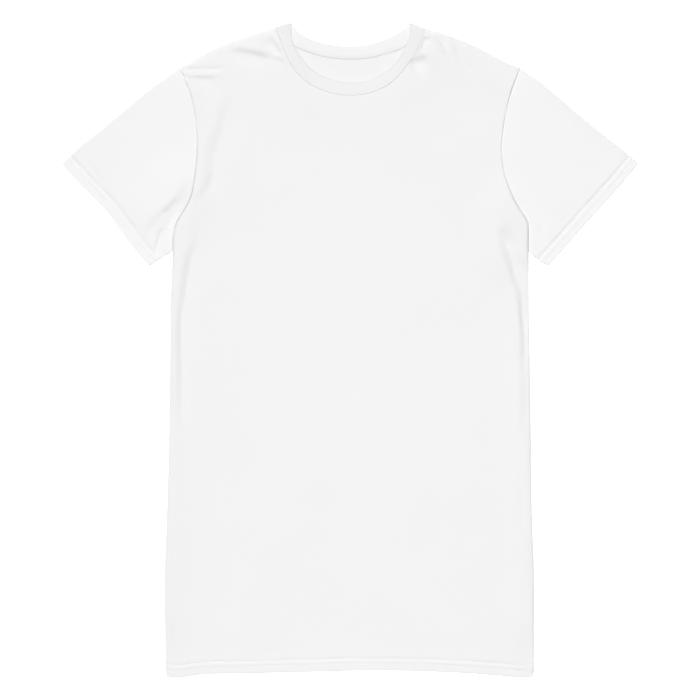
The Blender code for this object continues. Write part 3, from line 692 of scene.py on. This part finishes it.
def makeBack():
    plan = panelPlan("backNeck", panels["backSteps"], panels["plainGrid"])
    toHem = awayFrom("hem", plan)
    toEdge = toHem
    for name in ("backNeck", "sideleft", "sideright", "shoulderleft", "shoulderright"):
        toEdge = np.minimum(toEdge, awayFrom(name, plan))
    # the underside is flat, and its rim turns up
    lift = back["rim"] * (1.0 - rounding(toEdge, 1.0))
    bite = back["rowDepth"] * sum(bell(toHem - row, back["rowWidth"]) for row in cloth["hemRows"])
    points = np.dstack([plan, lift + bite])
    uneven = softWaves(plan[:, :, 0], plan[:, :, 1], 1.0) * rise(awayFrom("backNeck", plan), *back["uneven"])
    wall = np.clip(back["wall"] - lift * 0.5 + uneven, *back["walls"])
    material = jersey("backJersey", panels["colour"], panels["knit"])
    return sewSheet("dress_back", points, wall, material, flip=True), points


frontPiece, frontPoints = makeFront()
backPiece, backPoints = makeBack()
print("front and back panels made:", frontPoints.shape, backPoints.shape)


sleeves = {
    # painted light: the sleeves' jersey is drawn paler than the same cloth on the body, standing in for light
    "colour": (0.864, 0.8625, 0.867),
    "paler": 0.015,  # less shows through the doubled cuffs
    "turn": math.radians(40.0),
    "top": 4.6,
    "seamTop": 3.7,
    "seamReach": 13.0,
    "seamAllowance": (0.12, 5.0, 3.2),  # pressed to this side
    "seamDitch": (-0.9, 0.0, 0.85),
    "lowest": 2.3,
    "waves": 0.06,
    "fold": 2.0,  # half the height of the folded edges
    "roll": 3.0,
    "cuffTop": 4.0,
    "cuffFull": (0.2, 12.8, 1.6),  # between the rows
    "cuffRoll": 1.1,
    "cuffRim": (0.9, 0.5),  # how far its edges turn in, above and below
    "rowDepths": (0.2, 0.14),
    "around": ((0, 2.0), (70, 2.2), (110, 3.4), (300, 3.4)),
    "foldSteps": (0.0, 0.15, 0.5, 1.0, 1.7, 2.5, 3.6, 5.5),
    "cuffSteps": (0.0, 0.15, 0.5, 1.1, 2.2, 4.5, 7.0, 8.8, 9.4, 10.0, 10.6, 11.3, 13.0, 14.2, 14.9, 15.5,
                  16.1, 16.8, 17.6, 18.6, 20.0, 22.0, 24.5),
    # the cloth sinks just inside the cuff, less near the left underarm: least, and how much more
    "valley": (-0.95, 17.3, 1.7),
    "valleyShares": {"left": (0.35, 0.65), "right": (0.75, 0.0)},
    "valleyGrows": (322.0, 350.0),
    "spacing": 2.7,
    "cuffShare": 0.72,  # how much of the short underarm edge the cuff's rows may take up
    "endSteps": (4.6, 2.8, 1.5, 0.7, 0.25, 0.0),
    "leftFolds": (
        (((-226, 724), (-250, 680), (-270, 655), (-292, 618)), 16.0, -3.4, 0.0, 2.8),
        (((-218, 694), (-232, 664), (-246, 640), (-250, 606)), 13.0, 1.0, 0.0, 1.0),
        (((-239, 678), (-247, 667), (-256, 657), (-268, 647)), 4.6, 1.6, -0.3, 2.6),
        (((-254, 662), (-267, 647), (-278, 634), (-285, 612)), 6.0, 1.3, -0.3, 2.4),
        (((-262, 634), (-266, 622), (-270, 608), (-275, 590)), 4.0, 3.4, -0.4, 2.0),
        (((-249, 652), (-254, 638), (-258, 622)), 5.0, 1.0, -0.2, 1.6),
        (((-229, 800), (-231, 745), (-240, 700)), 9.0, 0.9, 0.4, 1.5),
        (((-299, 640), (-293, 625), (-297, 610)), 4.0, 0.8, 0.4, 1.4),
        (((-376, 737), (-356, 706), (-340, 684)), 5.0, 0.7, 0.4, 1.3),
        (((-275, 597), (-266, 595), (-258, 602)), 2.4, 0.9, 0.3, 1.2),
    ),
    "rightFolds": (
        (((247, 690), (262, 664), (284, 640)), 6.5, 0.8, 0.5, 1.6),
        (((268, 640), (272, 622), (278, 606)), 4.0, 0.8, 0.4, 1.5),
        (((352, 700), (332, 712), (306, 706)), 9.0, 0.5, 0.3, 1.5),
        (((250, 834), (300, 794), (345, 759), (400, 714)), 9.0, 1.0, 0.5, 1.8),
        (((384, 716), (364, 694), (350, 676)), 4.0, 0.6, 0.3, 1.3),
    ),
}


def sleeveSurface(x, y, side, toCuff, toArmhole):
    height = np.full(x.shape, sleeves["top"])
    height -= (sleeves["top"] - sleeves["seamTop"]) * bell(toArmhole, sleeves["seamReach"])
    height += rise(toArmhole, *sleeves["seamAllowance"])
    height += foldRelief(x, y, sleeves[side + "Folds"]) + softWaves(x, y, sleeves["waves"])
    height = atLeast(height, sleeves["lowest"])
    height = height + (sleeves["cuffTop"] - height) * turnedUp(toCuff, cloth["cuffRows"][0], 7.0)
    least, more = sleeves["valleyShares"][side]
    height += (least + more * ease(np.abs(x), *sleeves["valleyGrows"])) * rise(toCuff, *sleeves["valley"])
    return height + rise(toCuff, *sleeves["cuffFull"])


def makeSleeve(side):
    away = -1.0 if side == "left" else 1.0
    armhole = sewn["armhole" + side]
    out = sideways(armhole)
    seam = armhole + out * np.sign(out[:, :1] * away) * cloth["seamGap"]
    steps = sleeves["foldSteps"]
    spread = spaced(steps[-1], lengthsAlong(seam)[-1] - steps[-1], sleeves["around"])
    ends = [closeEnds(line, steps, spread) for line in (sewn["cuff" + side], seam)]
    sides = []
    topWhole = lengthsAlong(sewn["top" + side])[-1]
    count = round((topWhole - sleeves["cuffSteps"][-1]) / sleeves["spacing"])
    endSteps = np.array(sleeves["endSteps"])
    for line, end in ((sewn["underarm" + side], seam[0]), (sewn["top" + side][::-1], seam[-1])):
        line = np.vstack([line[:-1], end])
        whole = lengthsAlong(line)[-1]
        shrink = min(1.0, sleeves["cuffShare"] * whole / sleeves["cuffSteps"][-1])
        cuffSteps = np.array(sleeves["cuffSteps"]) * shrink
        plain = np.linspace(cuffSteps[-1], whole - endSteps[0], count + 1)[1:-1]
        sides.append(atLengths(line, np.concatenate((cuffSteps, plain, whole - endSteps))))
    underarm, top = sides
    plan = patch(underarm, top, *ends)
    x, y = plan[:, :, 0], plan[:, :, 1]
    toFold = np.minimum(distanceTo(underarm, x, y), distanceTo(top, x, y))
    toCuff = awayFrom("cuff" + side, plan)
    toArmhole = distanceTo(seam, x, y)
    roundOff = rounding(toFold, sleeves["roll"])
    upper = sleeves["fold"] + (sleeveSurface(x, y, side, toCuff, toArmhole) - sleeves["fold"]) * roundOff
    lower = sleeves["fold"] * (1.0 - roundOff)
    rim = 1.0 - rounding(toCuff, sleeves["cuffRoll"])
    above, below = sleeves["cuffRim"]
    upper = upper + (rise(toArmhole, *sleeves["seamDitch"]) - above * rim) * roundOff
    lower = lower + below * rim * roundOff

    def allRound(above, below):
        # the upper side, back along the lower one, and closed
        return np.concatenate((above, below[-2:0:-1], above[:1]), axis=0)

    ring = allRound(np.dstack([plan, upper]), np.dstack([plan, lower]))
    toCuff = allRound(toCuff, toCuff)
    toFold = allRound(toFold, toFold)
    outward = facings(ring, ring=True) * -away  # the grid turns the other way round on the other side
    ring = pressRows(ring, outward, toCuff, cloth["cuffRows"], sleeves["rowDepths"])
    doubled = turnedUp(toCuff, cloth["cuffRows"][0], 1.2)
    wall = cloth["wall"] + (cloth["cuffWall"] - cloth["wall"]) * doubled * ease(toFold, *cloth["sleeveSeam"])
    material = jersey(side + "SleeveJersey", sleeves["colour"], panels["knit"], turn=sleeves["turn"] * -away,
                      paler=sleeves["paler"])
    piece = sewSheet("dress_" + side + "_sleeve", ring, wall, material, ring=True, flip=side == "right",
                     paler=doubled)
    return piece, ring, toCuff


leftSleeve, leftRing, leftCuff = makeSleeve("left")
rightSleeve, rightRing, rightCuff = makeSleeve("right")
print("sleeves made:", leftRing.shape, rightRing.shape)


band = {
    "colour": (0.813, 0.8115, 0.815),
    "knit": {"wale": 0.95, "course": 0.7, "depth": 0.3},
    "height": 6.0,
    "thickness": 2.2,
    "crown": 0.3,
    "settles": 2.2,  # how far the front's free edge sinks at the middle
    "settlesWithin": (42.0, 80.0),
    "ribPitch": 1.9,
    "ribDepth": 0.13,
    "ribShape": 0.8,  # below 1 the ribs are round and the furrows sharp
    "ribsFade": (0.0, 0.0, 0.0, 0.4),  # at the seam
    "ribsAbove": (0.15, 0.45),  # the underside rests flat
    "columnsPerRib": 4,
    "wall": 0.95,
    "closeGap": 0.02,  # left open at the back seam
    "bendPoints": 11,
    # shares of the width, and how far the cloth stands there
    "outerSide": ((0.0, -0.45), (0.012, -0.3), (0.035, -0.1), (0.07, 0.0), (0.13, 0.12), (0.2, 0.3),
                  (0.3, 0.6), (0.42, 0.9), (0.55, 1.0), (0.68, 0.9), (0.8, 0.6), (0.9, 0.3)),
    # shares of the width, and how much thinner the inner side is there
    "innerSide": ((0.8, 0.0), (0.55, 0.0), (0.38, 0.0), (0.3, 0.08), (0.22, 0.3), (0.14, 0.6), (0.07, 0.86),
                  (0.03, 1.0), (0.01, 1.05), (0.0, 1.08)),
    "endWall": 0.3,
    "paler": 0.052,  # painted light: how much paler the inner side, which shows at the back, is drawn
}


def bandSections():
    # round the neck from the left shoulder: where each section starts, ends and faces
    half = band["height"] / 2.0
    spacing = band["ribPitch"] / band["columnsPerRib"]
    fine = {name: neckLine(name, spacing=1.0) for name in ("frontNeck", "backNeck", "frontBand", "backBand")}
    for layer in ("front", "back"):
        for end, side in ((0, "left"), (-1, "right")):
            fine[layer + "Neck"][end] = sewn["shoulder" + side][-1]
            fine[layer + "Band"][end] = fine["frontBand"][end]
    runs = {}
    for layer, up in (("front", 1.0), ("back", -1.0)):
        lines = fine[layer + "Neck"], fine[layer + "Band"]
        count = round((lengthsAlong(lines[0])[-1] - 2 * half) / spacing)
        seams, edges = (atLengths(line, np.linspace(half, lengthsAlong(line)[-1] - half, count))
                        for line in lines)
        runs[layer] = [(start, end, np.array([0.0, 0.0, up])) for start, end in zip(seams, edges)]
    for tip, order in (("left", 1), ("right", -1)):
        lines = {name: line[::order] for name, line in fine.items()}
        along = lines["frontBand"][0] - lines["frontNeck"][0]
        into = unit(np.array([along[1], -along[0]]))
        into = into if into[1] < 0 else -into
        runs[tip] = []
        for angle in np.radians(np.linspace(-90, 90, 21)[1:-1]):
            facing = np.array([*(-into * math.cos(angle)), math.sin(angle)])
            shift = [half * (1.0 - math.cos(angle))]
            layer = "front" if angle > 0 else "back"
            start, end = (atLengths(lines[layer + part], shift)[0] for part in ("Neck", "Band"))
            runs[tip].append((start, end, facing))
    return runs["left"] + runs["front"] + runs["right"][::-1] + runs["back"][::-1]


def makeBand():
    half = band["height"] / 2.0
    layer = band["thickness"] / 2.0
    starts = []
    rings = []
    for seam, edge, facing in bandSections():
        width = math.hypot(*(edge - seam))
        along = np.array([*((edge - seam) / width), 0.0])
        # the strip's middle climbs from the back layer to the front one
        start = np.array([*(seam - facing[:2] * layer), half + facing[2] * (half - layer)])
        sinking = band["settles"] * max(facing[2], 0.0) * (1.0 - ease(abs(edge[0]), *band["settlesWithin"]))
        along[2] = -sinking / width
        bend = start + along * (width - layer)
        outer = max(facing[2], 0.0)
        gap = band["closeGap"] + (cloth["seamGap"] - band["closeGap"]) * outer
        run = width - layer - gap
        section = []
        for share, lift in band["outerSide"]:
            raised = layer + (band["crown"] * lift * outer if lift > 0 else lift)
            section.append(start + along * (gap + run * share) + facing * raised)
        for angle in np.linspace(0.0, math.pi, band["bendPoints"]):
            section.append(bend + (along * math.sin(angle) + facing * math.cos(angle)) * layer)
        for share, thinner in band["innerSide"]:
            section.append(start + along * (gap + run * share) - facing * (layer - thinner))
        rings.append(section)
        starts.append(start)
    points = np.array(rings + rings[:1])
    around = lengthsAlong(np.array(starts + starts[:1]))
    ribs = round(around[-1] / band["ribPitch"])
    wave = np.abs(np.sin(math.pi * ribs * around / around[-1])) ** band["ribShape"]
    wave[-1] = wave[0]
    outward = facings(points, ring=True)
    # a point on the outer side of the band's front, where outward is up
    upper = outward[len(points) // 4, 8, 2]
    outward = outward if upper > 0 else -outward
    fading = np.ones(points.shape[1])
    fading[:len(band["ribsFade"])] = band["ribsFade"]
    low, high = band["ribsAbove"]
    under = np.clip((points[:, :, 2] - low) / (high - low), 0.0, 1.0)
    points = points - outward * (band["ribDepth"] * (1.0 - wave)[:, None] * fading * under)[:, :, None]
    # marks the inner side, which is drawn paler as painted light where it shows at the back
    turn = np.clip(np.linspace(-1.0, 1.0, band["bendPoints"]), 0.0, 1.0)
    inner = np.concatenate((np.zeros(len(band["outerSide"])), turn, np.ones(len(band["innerSide"]))))
    walls = np.full(points.shape[:2], band["wall"])
    thinned = sum(1 for share, thinner in band["innerSide"] if thinner > 0)
    walls[:, :3] = band["endWall"]
    walls[:, -thinned:] = band["endWall"]
    material = jersey("neckRib", band["colour"], band["knit"], paler=band["paler"])
    return sewSheet("dress_neckband", points, walls, material, ring=True, flip=upper < 0, paler=inner), points


bandPiece, bandPoints = makeBand()
print("neckband made:", bandPoints.shape)


thread = {
    "length": 2.3, "gap": 0.75, "start": 1.5,
    "free": 2.0,  # at both ends together
    "thick": 0.42, "flat": 0.8, "endDip": 0.12,
    "sunk": 0.1,
    "sunkBelow": 0.35,  # deeper on the side that lies on the floor
    "profile": ((-1.0, 0.25), (-0.75, 0.8), (0.0, 1.0), (0.75, 0.8), (1.0, 0.25)),  # along it, and how thick
    "sides": 6,
    # painted shade: darker where the twist's bump is low, in its grooves, lighter on its ridges
    "twistShadeTones": ((0.8, 0.8, 0.795, 1.0), (0.87, 0.87, 0.865, 1.0)),
}


def threadMaterial():
    material, surface, fill, add = startMaterial("whiteThread")
    place = add("TexCoord", {})["Object"]
    twist = {"Vector": place, "Scale": 900.0, "Distortion": 1.5}
    twist = add("TexWave", twist, bands_direction="DIAGONAL")["Fac"]
    bump = add("Bump", {"Height": twist, "Strength": 0.4, "Distance": 0.00006})["Normal"]
    # painted shade: the colour follows the twist's bump, darker in the grooves
    ramp = add("ValToRGB", {"Fac": twist})["Color"]
    for element, tone in zip(ramp.node.color_ramp.elements, thread["twistShadeTones"]):
        element.color = tone
    rough = add("MapRange", {"Value": twist, "To Min": 0.5, "To Max": 0.7})["Result"]
    fill(surface, {"Sheen Weight": 0.1, "Specular IOR Level": 0.4, "Base Color": ramp, "Roughness": rough,
                   "Normal": bump})
    return material


def sewRows(name, rows):
    # rows: each a line of points and the way that the cloth faces at each of them
    share, size = np.array(thread["profile"]).T[:, :, None]
    turned = 2 * math.pi * np.arange(thread["sides"]) / thread["sides"]
    half, radius = thread["length"] / 2, thread["thick"] / 2 * size
    aside = np.cos(turned) * radius
    above = np.sin(turned) * radius * thread["flat"] - thread["endDip"] * share ** 2
    ahead = share * half
    stitches = []
    for line, facing in rows:
        pitch = thread["length"] + thread["gap"]
        count = int((lengthsAlong(line)[-1] - thread["free"]) // pitch)
        middles = thread["start"] + pitch * (np.arange(count) + 0.5)
        starts, ends = atLengths(line, middles - half), atLengths(line, middles + half)
        up = unit(atLengths(line, middles, facing))
        run = unit(ends - starts)
        across = unit(np.cross(run, up))
        lift = np.cross(across, run)
        sunk = thread["sunk"] + (thread["sunkBelow"] - thread["sunk"]) * ease(-up[:, 2], 0.0, 0.7)
        centre = (starts + ends) / 2 + lift * (thread["thick"] / 2 - sunk)[:, None]
        offsets = ((run, ahead), (across, aside), (lift, above))
        offset = sum(way[:, None, None] * size[:, :, None] for way, size in offsets)
        stitches.append(centre[:, None, None] + offset)
    stitches = np.concatenate(stitches)
    # a closed skin round each stitch
    index = np.arange(stitches[..., 0].size).reshape(stitches.shape[:3])
    following = np.roll(index, -1, axis=2)
    skin = np.stack([index[:, 1:], following[:, 1:], following[:, :-1], index[:, :-1]], axis=3).reshape(-1, 4)
    faces = skin.tolist() + index[:, 0].tolist() + index[:, -1, ::-1].tolist()
    return meshPiece(name, stitches.reshape(-1, 3), faces, threadWhite)


def needleRows(points, outward, reach, depths):
    # lines at some depths from an edge, and how the cloth faces there; each row of points leads inward
    values = np.concatenate((points, outward), axis=2)
    order = np.argsort(reach, axis=1)
    reach = np.take_along_axis(reach, order, axis=1)
    values = np.take_along_axis(values, order[:, :, None], axis=1)
    rows = []
    for depth in depths:
        line = [[np.interp(depth, near, column) for column in row.T] for near, row in zip(reach, values)]
        rows.append(np.split(np.array(line), 2, axis=1))
    return rows


def hemRows(points, outward):
    near = points[:60, 3:-3].swapaxes(0, 1)
    return needleRows(near, outward[:60, 3:-3].swapaxes(0, 1), awayFrom("hem", near), cloth["hemRows"])


def cuffRows(ring, toCuff, outward):
    return needleRows(ring[:, :45], outward[:, :45], toCuff[:, :45], cloth["cuffRows"])


threadWhite = threadMaterial()
frontStitches = sewRows("front_hem_stitches", hemRows(frontPoints, facings(frontPoints)))
backStitches = sewRows("back_hem_stitches", hemRows(backPoints, -facings(backPoints)))
leftStitches = sewRows("left_cuff_stitches", cuffRows(leftRing, leftCuff, facings(leftRing, ring=True)))
rightStitches = sewRows("right_cuff_stitches", cuffRows(rightRing, rightCuff, -facings(rightRing, ring=True)))
print("stitches sewn")


for piece, node in ((frontPiece, "front_panel"), (backPiece, "back_panel"), (leftSleeve, "left_sleeve"),
                    (rightSleeve, "right_sleeve"), (bandPiece, "neckband")):
    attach(piece, "root")
    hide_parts(node)
for piece in (frontStitches, backStitches, leftStitches, rightStitches):
    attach(piece, "root")


studio = {
    "frameWidth": 0.986,
    "cameraHeight": 3.2,
    "sensor": 36.0,
    "floorHalf": 6.0,
    "floorDepth": 0.0002,
    "paper": {"Base Color": (0.5, 0.5, 0.5, 1.0), "Roughness": 0.95, "Specular IOR Level": 0.1,
              "Emission Color": (1.0, 1.0, 1.0, 1.0), "Emission Strength": 1.1},
    "sky": 0.18,
    "strip": {"place": (0.0, -0.02, 2.2), "size": (0.5, 5.0), "power": 47.0},
    "window": {"from": (-0.17, 0.54, 0.82), "strength": 1.36, "softness": 18.0},
}


def makeStudio():
    scene = bpy.context.scene
    scene.view_settings.view_transform = "Standard"
    scene.view_settings.look = "None"
    world = scene.world or bpy.data.worlds.new("studio")
    scene.world = world
    world.use_nodes = True
    sky = world.node_tree.nodes["Background"]
    sky.inputs["Color"].default_value = (1.0, 1.0, 1.0, 1.0)
    sky.inputs["Strength"].default_value = studio["sky"]

    half = studio["floorHalf"]
    floorMesh = bpy.data.meshes.new("floor")
    corners = [(-half, -half, 0), (half, -half, 0), (half, half, 0), (-half, half, 0)]
    floorMesh.from_pydata(corners, [], [(0, 1, 2, 3)])
    floor = bpy.data.objects.new("floor", floorMesh)
    floor.location.z = -studio["floorDepth"]
    scene.collection.objects.link(floor)
    paper, surface, fill, add = startMaterial("whitePaper")
    fill(surface, studio["paper"])
    floorMesh.materials.append(paper)

    strip = bpy.data.lights.new("strip", "AREA")
    strip.shape = "RECTANGLE"
    strip.size, strip.size_y = studio["strip"]["size"]
    strip.energy = studio["strip"]["power"]
    window = bpy.data.lights.new("window", "SUN")
    window.energy = studio["window"]["strength"]
    window.angle = math.radians(studio["window"]["softness"])
    for lamp, place in ((strip, studio["strip"]["place"]), (window, studio["window"]["from"])):
        light = bpy.data.objects.new(lamp.name, lamp)
        light.location = place
        scene.collection.objects.link(light)
    light.rotation_mode = "QUATERNION"
    light.rotation_quaternion = light.location.to_track_quat("Z", "Y")

    camera = bpy.data.objects.new("camera", bpy.data.cameras.new("camera"))
    camera.location = (0.0, 0.0, studio["cameraHeight"])
    camera.data.sensor_width = studio["sensor"]
    camera.data.lens = studio["sensor"] * studio["cameraHeight"] / studio["frameWidth"]
    camera.data.dof.use_dof = False
    scene.collection.objects.link(camera)
    scene.camera = camera


makeStudio()
print("studio ready")
